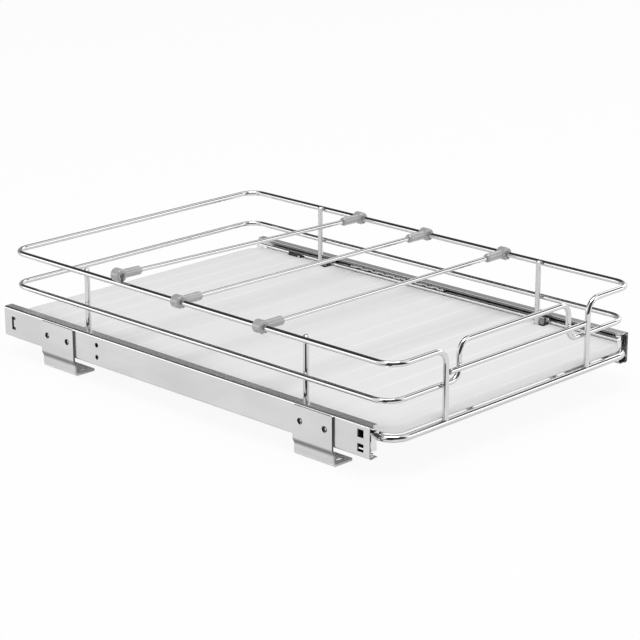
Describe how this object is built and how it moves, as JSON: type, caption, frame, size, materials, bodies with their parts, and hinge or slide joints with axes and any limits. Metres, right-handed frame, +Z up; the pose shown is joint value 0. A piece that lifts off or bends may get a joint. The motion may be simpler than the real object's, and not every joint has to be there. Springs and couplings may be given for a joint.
{
  "type": "pull-out cabinet organizer",
  "caption": "Low wire tray with clip-on dividers and a raised front handle, sliding out on telescopic ball rails carried by bracket feet.",
  "frame": {"origin": "on the cabinet floor, under the middle of the closed object's bounding box", "axes": "+X to the right seen from the front, -Y out of the cabinet, +Z up"},
  "size_m": [0.374, 0.5304, 0.1187],
  "materials": {
    "chrome": "bright chrome plate",
    "zinc": "clear zinc plate",
    "bright_zinc": "bright zinc plate",
    "cage_steel": "plain pressed steel",
    "ball_steel": "polished ball steel",
    "dark_steel": "oiled dark steel",
    "black_plastic": "moulded black",
    "grey_plastic": "moulded light grey",
    "frosted_sheet": "frosted, slightly translucent"
  },
  "bodies": {
    "cabinet_side": {"left_outer_member": "zinc", "right_outer_member": "zinc", "front_left_bracket": "zinc", "front_right_bracket": "zinc", "back_left_bracket": "zinc", "back_right_bracket": "zinc", "rail_screws": "dark_steel"},
    "tray": {"left_inner_member": "bright_zinc", "right_inner_member": "bright_zinc", "lever_rivets": "bright_zinc", "top_wire": "chrome", "middle_wire": "chrome", "base_wire": "chrome", "side_posts": "chrome", "front_bar": "chrome", "floor_wires": "chrome", "floor_runners": "chrome", "floor_sheet": "frosted_sheet", "fixing_plates": "chrome", "fixing_screws": "dark_steel"},
    "left_intermediate": {"left_intermediate_member": "zinc"},
    "left_outer_cage": {"left_outer_ball_cage": "cage_steel", "left_outer_balls": "ball_steel"},
    "left_inner_cage": {"left_inner_ball_cage": "cage_steel", "left_inner_balls": "ball_steel"},
    "left_lever": {"left_release_lever": "black_plastic"},
    "right_intermediate": {"right_intermediate_member": "zinc"},
    "right_outer_cage": {"right_outer_ball_cage": "cage_steel", "right_outer_balls": "ball_steel"},
    "right_inner_cage": {"right_inner_ball_cage": "cage_steel", "right_inner_balls": "ball_steel"},
    "right_lever": {"right_release_lever": "black_plastic"},
    "back_divider": {"back_divider_rod": "chrome", "back_divider_left_clip": "grey_plastic", "back_divider_right_clip": "grey_plastic"},
    "middle_divider": {"middle_divider_rod": "chrome", "middle_divider_left_clip": "grey_plastic", "middle_divider_right_clip": "grey_plastic"},
    "front_divider": {"front_divider_rod": "chrome", "front_divider_left_clip": "grey_plastic", "front_divider_right_clip": "grey_plastic"}
  },
  "joints": [
    {"name": "tray_slide", "type": "slide", "parent": "cabinet_side", "child": "tray", "axis": [0, -1, 0], "range_m": [0, 0.5]},
    {"name": "left_intermediate_slide", "type": "slide", "parent": "cabinet_side", "child": "left_intermediate", "axis": [0, -1, 0], "range_m": [0, 0.25]},
    {"name": "left_outer_cage_slide", "type": "slide", "parent": "cabinet_side", "child": "left_outer_cage", "axis": [0, -1, 0], "range_m": [0, 0.125]},
    {"name": "left_inner_cage_slide", "type": "slide", "parent": "cabinet_side", "child": "left_inner_cage", "axis": [0, -1, 0], "range_m": [0, 0.375]},
    {"name": "right_intermediate_slide", "type": "slide", "parent": "cabinet_side", "child": "right_intermediate", "axis": [0, -1, 0], "range_m": [0, 0.25]},
    {"name": "right_outer_cage_slide", "type": "slide", "parent": "cabinet_side", "child": "right_outer_cage", "axis": [0, -1, 0], "range_m": [0, 0.125]},
    {"name": "right_inner_cage_slide", "type": "slide", "parent": "cabinet_side", "child": "right_inner_cage", "axis": [0, -1, 0], "range_m": [0, 0.375]},
    {"name": "left_lever_turn", "type": "hinge", "parent": "tray", "child": "left_lever", "pos_m": [-0.1707, 0.1895, 0.04145], "axis": [1, 0, 0], "range_deg": [0, 10], "stiffness_Nm_per_rad": 0.05},
    {"name": "right_lever_turn", "type": "hinge", "parent": "tray", "child": "right_lever", "pos_m": [0.1707, 0.1895, 0.04145], "axis": [1, 0, 0], "range_deg": [0, 10], "stiffness_Nm_per_rad": 0.05},
    {"name": "back_divider_lift", "type": "hinge", "parent": "tray", "child": "back_divider", "pos_m": [0.16935, 0.0975, 0.1037], "axis": [0, 1, 0], "range_deg": [0, 75]},
    {"name": "middle_divider_slide", "type": "slide", "parent": "tray", "child": "middle_divider", "axis": [0, 1, 0], "range_m": [-0.04, 0.04]},
    {"name": "front_divider_slide", "type": "slide", "parent": "tray", "child": "front_divider", "axis": [0, 1, 0], "range_m": [-0.04, 0.04]}
  ],
  "couplings": [
    {"joint": "left_intermediate_slide", "follows": "tray_slide", "ratio": 0.5},
    {"joint": "left_outer_cage_slide", "follows": "tray_slide", "ratio": 0.25},
    {"joint": "left_inner_cage_slide", "follows": "tray_slide", "ratio": 0.75},
    {"joint": "right_intermediate_slide", "follows": "tray_slide", "ratio": 0.5},
    {"joint": "right_outer_cage_slide", "follows": "tray_slide", "ratio": 0.25},
    {"joint": "right_inner_cage_slide", "follows": "tray_slide", "ratio": 0.75}
  ]
}
